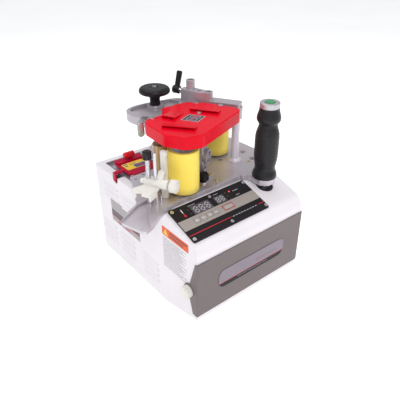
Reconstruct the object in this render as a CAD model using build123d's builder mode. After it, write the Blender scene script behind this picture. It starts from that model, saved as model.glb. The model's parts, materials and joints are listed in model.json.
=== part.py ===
"""Portable edge banding machine, modelled as an assembly of separate pieces.

Millimetres, +Z up. The origin is the middle of the flat underside that the
machine rests on. +X is the right-hand side, where the board runs past the
pressure roller, and -Y is the front, with the control panel.
"""

import os
from math import atan2, cos, degrees, hypot, pi, radians, sin

from build123d import *

os.makedirs("parts", exist_ok=True)

# ------------------------------------------------------------ driving dimensions
# Housing
body_w = 230.0
body_front = -190.0
body_back = 105.0
body_top = 183.0
sheet = 2.0
bevel_y = -105.0                # where the underside starts to rise to the front
front_lip_z = 20.0              # height of the front's lower edge
crest_y = -110.0                # top of the sloping control face
slope_rise = 22.0 / 68.0        # fall of the control face per mm towards the front

# Deck casting
deck_t = 9.0
deck_top = body_top + deck_t

# Tape line: both rubber rollers stand on it
line_angle = 30.0
feed_x, feed_y = -58.5, -87.4
roller_gap = 150.0
tyre_r = 24.5
tyre_low = deck_top + 3.0
tyre_high = 265.5
shaft_r = 6.0
running = 0.05                  # radial clearance of a turning shaft

# Glue roller and its gears
glue_t = 38.0                   # its distance from the feed roller's axis
glue_r = 12.5
gear_module = 2.0
feed_teeth, glue_teeth, motor_teeth = 25, 13, 12
gear_low, gear_high = 150.0, 160.0

# Upper casting and red cover
cover_low, cover_high = 272.0, 297.0
plate_low, plate_high = 280.0, 290.0
skirt_low = 277.0

# Tape height slider
rod_a, rod_t = -53.6, 22.2      # plain guide rod, on the tape line's own axes
spindle_t = 34.0
spindle_r = 3.5
slider_z = 228.0
rod_high = 277.0

# Handle
grip_x, grip_y = 76.0, -134.0

col_x, col_y, col_r = 77.5, -59.0, 7.0


def along(a, t):
    """Point a mm along the tape line from the feed roller, t mm to its glue side."""
    c, s = cos(radians(line_angle)), sin(radians(line_angle))
    return (feed_x + a * c - t * s, feed_y + a * s + t * c)


def line_plane(z, a=0.0, t=0.0):
    """Horizontal plane at height z whose x axis runs along the tape line."""
    c, s = cos(radians(line_angle)), sin(radians(line_angle))
    return Plane(origin=(*along(a, t), z), x_dir=(c, s, 0), z_dir=(0, 0, 1))


def across_plane(a, t, z):
    """Upright plane facing out of the front side of the tape line, x along the line."""
    c, s = cos(radians(line_angle)), sin(radians(line_angle))
    return Plane(origin=(*along(a, t), z), x_dir=(c, s, 0), z_dir=(s, -c, 0))


def slope_z(y):
    """Height of the control face at depth y."""
    return body_top + (y - crest_y) * slope_rise


slope_deg = degrees(atan2(slope_rise, 1.0))
slope_n = (0, -sin(radians(slope_deg)), cos(radians(slope_deg)))
slope_plane = Plane(origin=(0, crest_y, body_top), x_dir=(1, 0, 0), z_dir=slope_n)


def write(part, name):
    part.part.label = name
    export_step(part.part, f"parts/{name}.step")


def ring(plane, outer, inner, height):
    """Add a tube, or a rod where inner is 0, standing on plane, to the part being built."""
    with BuildSketch(plane) as face:
        Circle(outer)
        if inner > 0:
            Circle(inner, mode=Mode.SUBTRACT)
    extrude(face.sketch, amount=height)


# ------------------------------------------------------ layout of the control face
panel_left, panel_right = -110.0, 46.0
panel_top, panel_bottom = -2.0, -71.0     # on the slope, measured from the crest
panel_t = 2.0
panel_w = panel_right - panel_left
panel_h = panel_top - panel_bottom
panel_cx = (panel_left + panel_right) / 2
panel_cy = (panel_top + panel_bottom) / 2
key_xs = [-80.0, -67.5, -55.0, -42.5]
key_v, key_w, key_h = 0.525, 9.0, 7.5
function_x, function_w = -16.5, 17.0
key_clear, key_height = 0.4, 0.8
lamp_spots = [(-80, 0.18), (-80, 0.30), (-2.5, 0.15), (-2.2, 0.26), (-2.0, 0.37), (6, 0.16)]
lamp_r = 1.3


def panel_y(v):
    """Distance along the slope of a height given as a fraction down the panel."""
    return panel_top - v * panel_h


display_spots = [(-56.0, 0.25, 37.0, 18.0), (-18.0, 0.25, 20.0, 15.0)]
screw_spots = [(x, panel_y(v)) for v in (0.09, 0.925) for x in (-106.0, -32.0, 42.0)]

# ------------------------------------------------------------------- housing
louvre_l, louvre_h, louvre_out = 46.0, 5.0, 1.6
louvre_groups = [(95, 68, 4), (34, 68, 4), (-40, 66, 4), (76, 156, 3), (19, 153, 3)]
louvre_step = 12.5

flange_x = 101.0
deck_screw_spots = [(4, -97), (30, 99), (106, 99)]

with BuildPart() as housing:
    front_corner = (body_front, slope_z(body_front))
    with BuildSketch(Plane.YZ.offset(-body_w / 2)) as side:
        with BuildLine():
            Polyline((bevel_y, 0), (body_front, front_lip_z), front_corner,
                     (crest_y, body_top), (body_back, body_top), (body_back, 0), close=True)
        make_face()
        fillet(side.vertices().sort_by_distance(Vector(*front_corner, 0))[0], 26)
    extrude(amount=body_w)
    # the cavity: open below, and open above behind the crest
    inner_front = body_front + sheet
    drop = sheet / cos(radians(slope_deg))
    with BuildSketch(Plane.YZ.offset(-body_w / 2 + sheet)) as cavity:
        with BuildLine():
            Polyline((bevel_y, -6), (inner_front, front_lip_z - 6),
                     (inner_front, slope_z(inner_front) - drop),
                     (crest_y, body_top - drop), (crest_y, body_top - sheet),
                     (body_back - sheet, body_top - sheet), (body_back - sheet, -6), close=True)
        make_face()
        inner_corner = (inner_front, slope_z(inner_front) - drop, 0)
        fillet(cavity.vertices().sort_by_distance(Vector(*inner_corner))[0], 24)
    extrude(amount=body_w - 2 * sheet, mode=Mode.SUBTRACT)
    # top opening inside a narrow flange that the deck is screwed to
    with BuildSketch(Plane.XY.offset(body_top - sheet - 1)):
        with Locations((0, 1)):
            Rectangle(2 * flange_x, 186)
        with Locations((feed_x, feed_y)):
            Circle(19)
    extrude(amount=sheet + 2, mode=Mode.SUBTRACT)
    with BuildSketch(Plane.XY.offset(body_top - sheet - 1)):
        with Locations(*deck_screw_spots):
            Circle(2.6)
    extrude(amount=sheet + 2, mode=Mode.SUBTRACT)
    # U notch in the left wall for the lid's tab
    with BuildSketch(Plane.YZ.offset(-body_w / 2 - 1)):
        with Locations((35, 171 + 20)):
            SlotOverall(40, 16, rotation=90)
    extrude(amount=16, mode=Mode.SUBTRACT)
    # clearance hole under the handle bracket
    with BuildSketch(slope_plane):
        with Locations((grip_x, (grip_y - 3 - crest_y) / cos(radians(slope_deg)))):
            Circle(15)
    extrude(amount=-8, mode=Mode.SUBTRACT)
    # pressed louvres on both side walls, each a hood over a slot
    for sx in (-1, 1):
        wall = sx * body_w / 2
        for y0, z0, count in louvre_groups:
            base = Plane(origin=(wall, y0, 0), x_dir=(1, 0, 0), z_dir=(0, -1, 0))
            with BuildSketch(base):
                for row in range(count):
                    z = z0 - row * louvre_step
                    with BuildLine():
                        Polyline((-sx * 0.5, z), (-sx * 0.5, z + louvre_h), (0, z + louvre_h),
                                 (sx * louvre_out, z), close=True)
                    make_face()
            extrude(amount=louvre_l)
        with BuildSketch(Plane.YZ.offset(wall - sheet - 1)):
            for y0, z0, count in louvre_groups:
                for row in range(count):
                    with Locations((y0 - louvre_l / 2, z0 - row * louvre_step - 0.8)):
                        Rectangle(louvre_l - 4, 1.6)
        extrude(amount=2 * sheet + 2, mode=Mode.SUBTRACT)
    # screw holes of the control panel
    with BuildSketch(slope_plane.offset(-6)):
        with Locations(*screw_spots):
            Circle(1.55)
    extrude(amount=8, mode=Mode.SUBTRACT)
    # rear wall: power inlet and switch
    with BuildSketch(Plane.XZ.offset(-body_back - 1)):
        with Locations((45, 50)):
            Rectangle(27.4, 20.4)
        with Locations((78, 50)):
            Rectangle(13.4, 19.4)
    extrude(amount=sheet + 2, mode=Mode.SUBTRACT)
    # holes for the two cover knobs
    with BuildSketch(Plane.YZ.offset(-body_w / 2 - 1)):
        with Locations((-172, 72)):
            Circle(3.2)
    extrude(amount=body_w + 2, mode=Mode.SUBTRACT)
write(housing, "housing")

with BuildPart() as base_plate:
    with BuildSketch(Plane.YZ.offset(-body_w / 2 + sheet + 0.2)):
        with BuildLine():
            Polyline((body_back - sheet - 0.2, 0), (bevel_y, 0), (inner_front + 0.2, 19.3),
                     (inner_front + 0.2, 21.4), (bevel_y, 2), (body_back - sheet - 0.2, 2),
                     close=True)
        make_face()
    extrude(amount=body_w - 2 * sheet - 0.4)
write(base_plate, "base_plate")

# ---------------------------------------------------------------- front cover
cover_sheet = 1.6
cover_gap = 0.2
knob_y, knob_z = -172.0, 72.0
with BuildPart() as front_cover:
    outer_x = body_w / 2 + cover_gap + cover_sheet
    front_y = body_front - cover_gap
    with BuildSketch(Plane.YZ.offset(-outer_x)):
        with BuildLine():
            Polyline((front_y - cover_sheet, 132), (-187, 131), (-174, knob_z + 16),
                     (-174, knob_z - 16), (-181, 29), (front_y - cover_sheet, 29), close=True)
        make_face()
        with Locations((knob_y, knob_z)):
            Circle(12.5)
    extrude(amount=2 * outer_x)
    with Locations((0, body_front + 50 - cover_gap, 80)):
        Box(body_w + 2 * cover_gap, 100, 130, mode=Mode.SUBTRACT)
    fillet(front_cover.edges().filter_by(Axis.Z).group_by(Axis.Y)[0], 1.5)
    with BuildSketch(Plane.YZ.offset(-outer_x - 1)):
        with Locations((knob_y, knob_z)):
            Circle(3.2)
    extrude(amount=2 * outer_x + 2, mode=Mode.SUBTRACT)
write(front_cover, "front_cover")


def fluted_knob(plane, radius, height, flutes, shank_r, shank_l):
    """Moulded thumb knob: fluted head on plane, screw shank going back from it."""
    with BuildSketch(plane) as head:
        Circle(radius)
        with PolarLocations(radius + 0.6, flutes):
            Circle(radius * 0.13, mode=Mode.SUBTRACT)
    extrude(head.sketch, amount=height)
    ring(plane.offset(height), radius * 0.55, 0, 1.2)
    ring(plane.offset(-shank_l), shank_r, 0, shank_l)


for side_name, sx in (("left", -1), ("right", 1)):
    out = Plane(origin=(sx * (outer_x + 0.4), knob_y, knob_z), x_dir=(0, 1, 0),
                z_dir=(sx, 0, 0))
    with BuildPart() as cover_knob:
        fluted_knob(out, 10.5, 9.0, 20, 3.15, 9.0)
    write(cover_knob, f"cover_knob_{side_name}")

with BuildPart() as cover_nuts:
    # welded nuts on the inside of both walls
    for sx in (-1, 1):
        ring(Plane(origin=(sx * (body_w / 2 - sheet), knob_y, knob_z), x_dir=(0, 1, 0),
                   z_dir=(-sx, 0, 0)), 6.5, 3.2, 4.5)
write(cover_nuts, "cover_nuts")

with BuildPart() as badge_plate:
    with BuildSketch(Plane.XZ.offset(-front_y + cover_sheet)) as badge:
        with Locations((0, 81)):
            RectangleRounded(147, 34, 13)
    extrude(amount=1.0)
write(badge_plate, "badge_plate")

# -------------------------------------------------------------- control panel
with BuildPart() as control_panel:
    with BuildSketch(slope_plane):
        with Locations((panel_cx, panel_cy)):
            RectangleRounded(panel_w, panel_h, 3)
    extrude(amount=panel_t)
    with BuildSketch(slope_plane.offset(-1)):
        for x in key_xs:
            with Locations((x, panel_y(key_v))):
                Rectangle(key_w + 2 * key_clear, key_h + 2 * key_clear)
        with Locations((function_x, panel_y(key_v))):
            Rectangle(function_w + 2 * key_clear, key_h + 2 * key_clear)
        for x, v, w, h in display_spots:
            with Locations((x, panel_y(v))):
                Rectangle(w, h)
        for x, v in lamp_spots:
            with Locations((x, panel_y(v))):
                Circle(lamp_r)
        with Locations(*screw_spots):
            Circle(1.6)
    extrude(amount=panel_t + 2, mode=Mode.SUBTRACT)
write(control_panel, "control_panel")

with BuildPart() as displays:
    with BuildSketch(slope_plane.offset(0.1)):
        for x, v, w, h in display_spots:
            with Locations((x, panel_y(v))):
                Rectangle(w, h)
    extrude(amount=panel_t - 0.3)
write(displays, "display_windows")

with BuildPart() as lamps:
    with BuildSketch(slope_plane.offset(0.1)):
        for x, v in lamp_spots:
            with Locations((x, panel_y(v))):
                Circle(lamp_r)
    extrude(amount=panel_t)
write(lamps, "indicator_lamps")

key_spots = [(f"key_{i + 1}", x, key_w) for i, x in enumerate(key_xs)]
key_spots.append(("function_key", function_x, function_w))
for name, x, w in key_spots:
    with BuildPart() as key:
        with BuildSketch(slope_plane.offset(1.0)):
            with Locations((x, panel_y(key_v))):
                RectangleRounded(w, key_h, 1.2)
        extrude(amount=panel_t - 1.0 + key_height)
        fillet(key.faces().sort_by(lambda f: f.center().dot(Vector(*slope_n)))[-1].edges(), 0.35)
    write(key, name)

with BuildPart() as panel_screws:
    for x, y in screw_spots:
        spot = Plane(origin=slope_plane.from_local_coords((x, y, panel_t)),
                     x_dir=(1, 0, 0), z_dir=slope_n)
        ring(spot, 3.0, 0, 1.8)
        ring(spot.offset(-panel_t - 6), 1.5, 0, panel_t + 6)
        with BuildSketch(spot.offset(0.9)):
            Rectangle(3.6, 0.8)
            Rectangle(0.8, 3.6)
        extrude(amount=1.0, mode=Mode.SUBTRACT)
write(panel_screws, "panel_screws")

# ----------------------------------------------------------------- deck casting
glue_x, glue_y = along(0, glue_t)
press_x, press_y = along(roller_gap, 0)
rod_x, rod_y = along(rod_a, rod_t)
spin_x, spin_y = along(rod_a, spindle_t)
bearing_r, bearing_h = 14.0, 8.0
bush_r = 7.5
table_holes = [(112.0, -44.0), (106.0, -75.0)]
tray_depth = 4.5
lid_left, lid_front, lid_back, lid_right = -98.0, 7.0, 72.0, -41.0

with BuildPart() as deck:
    with BuildSketch(Plane.XY.offset(body_top)) as plan:
        with BuildLine():
            tip = Polyline((-103, 0), (-114, -22), (-129, -51), (-140, -75), (-164, -87),
                           (-181, -99.5), (-171, -136), (-166, -141))
            wing = Spline(tip @ 1, (-152, -136), (-135, -125), (-117, -115),
                          (-98, -110), (-82, -108.5))
            front = Polyline(wing @ 1, (48, -108.5), (58, -120), (58, -141.5), (68.5, -152),
                             (83.5, -152), (94, -141.5), (94, -126), (128, -105), (139, -92),
                             (140.5, -44), (137, 86), (124, 103), (12, 103), (-18, 76),
                             (-38, 76), (-38, 4), (-103, 4), (-103, 0))
        make_face()
    extrude(amount=deck_t)
    # thicker octagonal boss under the handle
    with BuildSketch(Plane.XY.offset(body_top - 1.5)):
        with Locations((grip_x, grip_y)):
            RegularPolygon(19.4, 8, rotation=22.5)
    extrude(amount=deck_t)
    # infeed tray of the wing, open at its outer end
    with BuildSketch(Plane.XY.offset(deck_top - tray_depth)):
        with BuildLine():
            rim = Polyline((-119, -76), (-141, -79), (-163, -91), (-190, -104), (-180, -150),
                           (-160, -142))
            fin = Spline(rim @ 1, (-154, -131), (-142, -110), (-130, -90), rim @ 0)
        make_face()
    extrude(amount=tray_depth + 1, mode=Mode.SUBTRACT)
    # bearing bosses and bores for the three upright shafts
    for x, y in ((feed_x, feed_y), (press_x, press_y), (glue_x, glue_y)):
        with Locations((x, y, body_top - 3)):
            Cylinder(bearing_r + 4, 6, align=(Align.CENTER, Align.CENTER, Align.CENTER))
    for x, y in ((feed_x, feed_y), (press_x, press_y), (glue_x, glue_y)):
        with Locations((x, y, body_top - 6)):
            Cylinder(bearing_r, bearing_h, mode=Mode.SUBTRACT,
                     align=(Align.CENTER, Align.CENTER, Align.MIN))
            Cylinder(shaft_r + 2, 20, mode=Mode.SUBTRACT,
                     align=(Align.CENTER, Align.CENTER, Align.MIN))
    # cast posts that the gear motor hangs from
    for x, y in ((12, -84), (-2, -79), (-20, -79)):
        ring(Plane((x, y, 138)), 4.0, 0, body_top - 138)
    # rods of the tape slider, table holes, accessory holes
    with Locations((rod_x, rod_y, body_top + 3)):
        Cylinder(2.5, 10, mode=Mode.SUBTRACT, align=(Align.CENTER, Align.CENTER, Align.MIN))
    with Locations((spin_x, spin_y, body_top + 2)):
        Cylinder(2.55, 10, mode=Mode.SUBTRACT, align=(Align.CENTER, Align.CENTER, Align.MIN))
    with Locations(*[(x, y, deck_top) for x, y in table_holes]):
        CounterBoreHole(3.3, 5.5, 2.0, depth=deck_t)
    with Locations((57.5, -42.5, deck_top)):
        Hole(4.0, depth=deck_t)
    with Locations((-116.5, -65, deck_top)):
        Hole(3.4, depth=deck_t)
    with Locations((-80.5, -2, deck_top), (-99, -8, deck_top)):
        Hole(2.2, depth=deck_t)
    with Locations((92.5, -80, deck_top)):
        Hole(3.0, depth=deck_t)
    with Locations((*along(36, -20), deck_top)):
        Hole(4.05, depth=deck_t)
    with Locations((col_x, col_y, deck_top)):
        Hole(4.0, depth=deck_t)
    with Locations((grip_x, grip_y, deck_top)):
        Hole(5.0, depth=deck_t + 4)
    with Locations(*[(x, y, deck_top) for x, y in deck_screw_spots]):
        CounterBoreHole(2.6, 4.6, 1.5, depth=deck_t)
    # rounded stub in the corner of the handle bracket
    with Locations((49.5, -110, body_top)):
        Cylinder(4, deck_t + 0.6, align=(Align.CENTER, Align.CENTER, Align.MIN))
write(deck, "deck")

with BuildPart() as deck_screws:
    for x, y in deck_screw_spots:
        ring(Plane((x, y, deck_top - 1.5)), 4.4, 0, 2.0)
        ring(Plane((x, y, body_top - 5)), 2.55, 0, deck_t + 4)
        with BuildSketch(Plane((x, y, deck_top - 0.4))) as socket:
            RegularPolygon(1.9, 6)
        extrude(socket.sketch, amount=2, mode=Mode.SUBTRACT)
write(deck_screws, "deck_screws")

with BuildPart() as brass_insert:
    ring(Plane((92.5, -80, deck_top - 6)), 3.0, 1.25, 6.6)
write(brass_insert, "brass_insert")

# --------------------------------------------------------------- support column
with BuildPart() as column:
    with BuildSketch(Plane.XZ.offset(-col_y)):
        with BuildLine():
            foot = Polyline((col_x, deck_top - 8), (col_x + 3.9, deck_top - 8),
                            (col_x + 3.9, deck_top), (col_x + col_r + 4.5, deck_top),
                            (col_x + col_r + 4.5, deck_top + 1.5))
            cone = Spline(foot @ 1, (col_x + col_r + 1.2, deck_top + 4), (col_x + col_r,
                          deck_top + 9))
            Polyline(cone @ 1, (col_x + col_r, cover_low), (col_x + 3.9, cover_low),
                     (col_x + 3.9, cover_low + 12), (col_x, cover_low + 12), foot @ 0)
        make_face()
    revolve(axis=Axis((col_x, col_y, 0), (0, 0, 1)))
write(column, "support_column")

# ----------------------------------------------------------------------- handle
grip_profile = [(20.3, 0), (20.6, 4), (19.8, 8), (17.8, 12.5), (18.6, 28), (19.7, 46),
                (19.6, 64), (18.3, 80), (15.8, 88), (15.0, 93)]
grip_collar = [(18.9, 99.5), (19.3, 103.5), (17.6, 111), (16.0, 120)]
grip_low = deck_top
grip_high = grip_low + grip_collar[-1][1]
head_h = 8.5
with BuildPart() as grip:
    with BuildSketch(Plane.XZ.offset(-grip_y)):
        with BuildLine():
            body = Spline(*[(grip_x + r, grip_low + h) for r, h in grip_profile])
            collar = Spline(*[(grip_x + r, grip_low + h) for r, h in grip_collar])
            Line(body @ 1, collar @ 0)
            Polyline(collar @ 1, (grip_x + 11, grip_high), (grip_x + 11, grip_low), body @ 0)
        make_face()
    revolve(axis=Axis((grip_x, grip_y, 0), (0, 0, 1)))
write(grip, "handle_grip")

button_r, button_h = 8.0, 4.0
with BuildPart() as handle_core:
    # steel tube with a turned head that carries the push button
    ring(Plane((grip_x, grip_y, grip_low)), 11.0, 0, 20.0)
    ring(Plane((grip_x, grip_y, grip_low + 20)), 11.0, 6.0, grip_high - grip_low - 20)
    ring(Plane((grip_x, grip_y, grip_high)), 15.6, 6.0, 3.0)
    ring(Plane((grip_x, grip_y, grip_high + 3)), 16.0, button_r + 0.35, head_h - 3)
    chamfer(handle_core.edges().group_by(Axis.Z)[-1], 0.8)
    ring(Plane((grip_x, grip_y, body_top - 15)), 4.9, 0, 15 + deck_t + 1)
write(handle_core, "handle_core")

with BuildPart() as handle_nut:
    with BuildSketch(Plane((grip_x, grip_y, body_top - 9.5))):
        RegularPolygon(9.5, 6)
        Circle(4.9, mode=Mode.SUBTRACT)
    extrude(amount=8)
write(handle_nut, "handle_nut")

button_low = grip_high + 6.5
with BuildPart() as start_button:
    ring(Plane((grip_x, grip_y, button_low)), button_r, 0, grip_high + head_h - button_low + 1.2)
    fillet(start_button.edges().group_by(Axis.Z)[-1], 1.0)
    ring(Plane((grip_x, grip_y, grip_high - 6)), 2.5, 0, button_low - grip_high + 6)
write(start_button, "start_button")

# -------------------------------------------------------- rollers on the tape line
core_r = 19.0


def tyre(x, y, name):
    with BuildPart() as rubber:
        ring(Plane((x, y, tyre_low)), tyre_r, core_r, tyre_high - tyre_low)
        rims = rubber.edges().filter_by(GeomType.CIRCLE)
        fillet(rims.filter_by(lambda e: abs(e.radius - tyre_r) < 0.1), 1.5)
    write(rubber, name)


def core(x, y, low, name, flat_low):
    """Hub and shaft in one turned piece, with a flat below for its gear."""
    with BuildPart() as hub:
        ring(Plane((x, y, tyre_low)), core_r, 15.0, tyre_high - tyre_low)
        ring(Plane((x, y, tyre_low + 2)), 15.0, 0, 6)
        ring(Plane((x, y, tyre_high - 8)), 15.0, 0, 6)
        ring(Plane((x, y, low)), shaft_r, 0, plate_high - 1 - low)
        if flat_low:
            with Locations((x, y + shaft_r - 0.8, low)):
                Box(2 * shaft_r, 3, gear_high - low, mode=Mode.SUBTRACT,
                    align=(Align.CENTER, Align.MIN, Align.MIN))
    write(hub, name)


tyre(feed_x, feed_y, "feed_roller_tyre")
core(feed_x, feed_y, gear_low - 4, "feed_roller_core", True)
tyre(press_x, press_y, "pressure_roller_tyre")
core(press_x, press_y, body_top - 8, "pressure_roller_core", False)

with BuildPart() as glue_roller:
    ring(Plane((glue_x, glue_y, tyre_low + 1)), glue_r, 0, tyre_high - tyre_low)
    ring(Plane((glue_x, glue_y, gear_low - 4)), shaft_r, 0, tyre_low + 5 - gear_low)
    ring(Plane((glue_x, glue_y, tyre_high)), shaft_r, 0, plate_high - 1 - tyre_high)
write(glue_roller, "glue_roller")

with BuildPart() as bearings:
    # plain bushes of the three upright shafts, below in the deck and above in the casting
    for x, y in ((feed_x, feed_y), (press_x, press_y), (glue_x, glue_y)):
        ring(Plane((x, y, body_top - 6)), bearing_r, shaft_r + running, bearing_h)
        ring(Plane((x, y, plate_low)), bush_r, shaft_r + running, plate_high - plate_low - 3)
write(bearings, "shaft_bushes")


# ------------------------------------------------------------------- gear train
def gear(x, y, teeth, phase, name, bore, shaft_low=0.0):
    """Spur gear with straight-sided teeth; phase turns it, in degrees.

    With bore 0 the wheel is cut on its own shaft, which reaches down to shaft_low.
    """
    m = gear_module
    pitch, root, tip_r = m * teeth / 2, m * teeth / 2 - 1.25 * m, m * teeth / 2 + 0.92 * m
    step = 360 / teeth
    with BuildPart() as wheel:
        ring(Plane((x, y, gear_low)), root, 0, gear_high - gear_low)
        with BuildSketch(Plane((x, y, gear_low))):
            for k in range(teeth):
                mid = radians(phase + k * step)
                points = []
                for r, share in ((root - 0.6, 0.66), (pitch, 0.45), (tip_r, 0.22)):
                    half = radians(step) * share / 2
                    points.append((r, half))
                outline = [(r * cos(mid - h), r * sin(mid - h)) for r, h in points]
                outline += [(r * cos(mid + h), r * sin(mid + h)) for r, h in reversed(points)]
                with BuildLine():
                    Polyline(*outline, close=True)
                make_face()
        extrude(amount=gear_high - gear_low)
        if bore > 0:
            with BuildSketch(Plane((x, y, gear_low))):
                Circle(bore)
            extrude(amount=gear_high - gear_low, mode=Mode.SUBTRACT)
        else:
            ring(Plane((x, y, shaft_low)), 5.0, 0, gear_high + 3 - shaft_low)
    write(wheel, name)


glue_dir = line_angle + 90.0
motor_dir = -20.0
motor_x = feed_x + gear_module * (feed_teeth + motor_teeth) / 2 * cos(radians(motor_dir))
motor_y = feed_y + gear_module * (feed_teeth + motor_teeth) / 2 * sin(radians(motor_dir))


def meshed_phase(teeth, direction, own_teeth, own_phase):
    """Phase of a gear of `teeth` whose gap meets the driver's tooth in `direction`."""
    offset = ((direction - own_phase) * own_teeth / 360) % 1.0
    return direction + 180 - (180 / teeth) - offset * 360 / teeth * -1


gear(feed_x, feed_y, feed_teeth, glue_dir, "feed_gear", shaft_r)
gear(glue_x, glue_y, glue_teeth, meshed_phase(glue_teeth, glue_dir, feed_teeth, glue_dir),
     "glue_gear", shaft_r)
gear(motor_x, motor_y, motor_teeth,
     meshed_phase(motor_teeth, motor_dir, feed_teeth, glue_dir), "motor_pinion", 0, 129.0)

with BuildPart() as gear_motor:
    ring(Plane((motor_x, motor_y, 36)), 27.0, 0, 62)
    with Locations((motor_x + 4, motor_y, 118)):
        Box(72, 52, 40, align=(Align.CENTER, Align.CENTER, Align.CENTER))
    with Locations((motor_x, motor_y, 128)):
        Cylinder(5.05, 30, mode=Mode.SUBTRACT, align=(Align.CENTER, Align.CENTER, Align.MIN))
write(gear_motor, "gear_motor")

# ---------------------------------------------------------- tape height control
with BuildPart() as guide_rod:
    ring(Plane((rod_x, rod_y, body_top + 3)), 2.5, 0, rod_high - body_top - 3)
    # short pin beside it that guides the tape's lower edge
    ring(Plane((-107.5, -94.5, deck_top)), 1.6, 0, 11)
write(guide_rod, "guide_rods")

with BuildPart() as spindle:
    ring(Plane((spin_x, spin_y, body_top + 2.5)), 2.5, 0, deck_t)
    ring(Plane((spin_x, spin_y, deck_top + 0.4)), 4.5, 0, 5)
    # thread shown as a stack of shallow rings
    ring(Plane((spin_x, spin_y, deck_top + 5)), 3.1, 0, 266 - deck_top - 5)
    for k in range(34):
        with Locations((spin_x, spin_y, deck_top + 6.5 + 2 * k)):
            Cylinder(spindle_r, 1.1, align=(Align.CENTER, Align.CENTER, Align.MIN))
write(spindle, "height_spindle")

with BuildPart() as spindle_knob:
    with BuildSketch(Plane((spin_x, spin_y, 266))):
        Circle(6.8)
        with PolarLocations(7.1, 24):
            Circle(0.6, mode=Mode.SUBTRACT)
    extrude(amount=11)
    ring(Plane((spin_x, spin_y, 277)), 5.2, 0, 1.0)
write(spindle_knob, "spindle_knob")

thumb_t = -2.0
with BuildPart() as slider:
    # barrel across the tape line
    ring(across_plane(rod_a, 24, slider_z), 7.5, 0, 22)
    ring(across_plane(rod_a, 46, slider_z), 4.0, 0, 23)
    ring(across_plane(rod_a, 47.2, slider_z), 2.6, 0, 2)
    # hub round both rods
    with BuildSketch(line_plane(slider_z - 7, rod_a, 0)) as hub_face:
        with Locations((0, 28.5)):
            RectangleRounded(13, 23, 3)
    extrude(hub_face.sketch, amount=14)
    # shelf that carries the tape, and the web under it
    with BuildSketch(line_plane(slider_z - 7)) as shelf:
        Polygon((-47, 16), (-47, 40), (-60, 40), (-74, 50), (-84, 47), (-78, 34), (-86, 30),
                (-86, 19), (-62, 14), align=None)
    extrude(shelf.sketch, amount=4)
    with BuildSketch(line_plane(slider_z - 14)) as web:
        Polygon((-84, 16.4), (-84, 19.4), (-66, 17), (-66, 14.5), align=None)
    extrude(web.sketch, amount=8)
    with BuildSketch(line_plane(slider_z - 15)) as tab:
        with Locations((-80, 44.5)):
            Rectangle(2.5, 5, rotation=20)
    extrude(tab.sketch, amount=9)
    # sloping fin that leads the tape up to the rollers
    with BuildSketch(across_plane(rod_a, 20, slider_z)) as fin_face:
        Polygon((-3, 4), (3, 4), (11, 17), (6, 17), align=None)
    extrude(fin_face.sketch, amount=9)
    # bores for the two rods and for the clamping screw
    with Locations((rod_x, rod_y, slider_z)):
        Cylinder(2.5 + running, 60, mode=Mode.SUBTRACT)
    with Locations((spin_x, spin_y, slider_z)):
        Cylinder(spindle_r + running, 60, mode=Mode.SUBTRACT)
    with BuildSketch(across_plane(rod_a, 18.6, slider_z)) as screw_bore:
        Circle(3.0 + running)
    extrude(screw_bore.sketch, amount=18, mode=Mode.SUBTRACT)
write(slider, "tape_slider")

with BuildPart() as thumb_screw:
    fluted_knob(across_plane(rod_a, thumb_t, slider_z), 10.0, 10.0, 20, 3.0, 20.0)
write(thumb_screw, "thumb_screw")

with BuildPart() as tape_guide:
    with BuildSketch(line_plane(deck_top)):
        with Locations((-30, 18.7)):
            RectangleRounded(8, 9.5, 1)
    extrude(amount=78)
    # shallow channel that the tape edge runs in
    with BuildSketch(line_plane(deck_top + 5)):
        with Locations((-30, 14.2)):
            Rectangle(10, 1.4)
    extrude(amount=66, mode=Mode.SUBTRACT)
write(tape_guide, "tape_guide")

# ------------------------------------------------------------------ tape cutter
pillar_a, pillar_w = 74.0, 24.0
cap_z = 220.0
with BuildPart() as pillar:
    with BuildSketch(line_plane(deck_top)):
        with Locations((pillar_a, 2.5)):
            RectangleRounded(pillar_w, 23, 3)
    extrude(amount=plate_low - deck_top)
    ring(across_plane(pillar_a, -8, cap_z), 13.0, 0, 7)
    # stiffening rib towards the star knob
    with BuildSketch(across_plane(pillar_a, -1, deck_top)) as rib:
        Polygon((-12, 0), (-21, 0), (-21, 8), (-12, 40), align=None)
    extrude(rib.sketch, amount=4)
    with BuildSketch(across_plane(pillar_a, -9, cap_z)) as recess:
        Circle(9.0)
    extrude(recess.sketch, amount=8, mode=Mode.SUBTRACT)
    # blind cap in the middle of the recess
    with BuildSketch(across_plane(pillar_a, -9, cap_z)) as cap:
        Circle(6.6)
    extrude(cap.sketch, amount=4.5)
    with BuildSketch(across_plane(pillar_a, 16, cap_z)) as bore:
        Circle(4.0 + running)
    extrude(bore.sketch, amount=23, mode=Mode.SUBTRACT)
write(pillar, "cutter_pillar")

with BuildPart() as blade:
    with BuildSketch(line_plane(deck_top + 4)):
        with Locations((pillar_a, 18.9)):
            Rectangle(16, 6)
    extrude(amount=66)
    # thin knife edge standing off the carrier
    with BuildSketch(line_plane(deck_top + 4)):
        with Locations((pillar_a - 6.5, 24)):
            Rectangle(1.2, 6)
    extrude(amount=66)
    ring(across_plane(pillar_a, 16.5, cap_z), 4.0, 0, 20)
write(blade, "cutter_blade")

knob_a, knob_t = 36.0, -20.0
star_x, star_y = along(knob_a, knob_t)
with BuildPart() as strap:
    with BuildSketch(line_plane(deck_top)):
        with Locations((45, -18.5)):
            RectangleRounded(36, 15, 4)
        with Locations((knob_a, knob_t)):
            Circle(4.1, mode=Mode.SUBTRACT)
    extrude(amount=3)
    # lug turned up against the rib
    with BuildSketch(line_plane(deck_top)):
        with Locations((57, -13.5)):
            Rectangle(12, 3)
    extrude(amount=14)
write(strap, "cutter_strap")

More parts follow.
